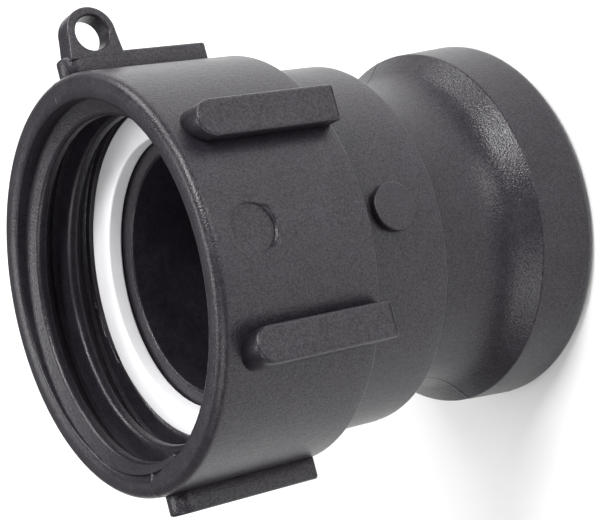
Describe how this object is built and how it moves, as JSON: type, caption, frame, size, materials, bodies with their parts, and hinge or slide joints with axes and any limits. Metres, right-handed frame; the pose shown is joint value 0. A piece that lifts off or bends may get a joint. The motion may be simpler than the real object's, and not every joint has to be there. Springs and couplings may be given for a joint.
{
  "type": "camlock coupling",
  "caption": "Threaded-socket to cam-and-groove plug adapter in black plastic, with grip ribs, a lanyard eye and a white flat gasket.",
  "frame": {"origin": "on the plane of the plug's end face, under the middle of the bounding box; the fitting's axis stands 3.9 mm toward -X of it", "axes": "+Z along the fitting's axis, from the plug's end to the threaded mouth; +X toward the lanyard eye; the mould halves part on Y = 0"},
  "size_m": [0.0834, 0.0686, 0.0775],
  "materials": {
    "black_plastic": "fine moulded grain, satin on the rounded rim",
    "white_gasket": "smooth satin"
  },
  "bodies": {
    "root": {"adapter_body": "black_plastic", "gasket": "white_gasket"}
  },
  "joints": []
}
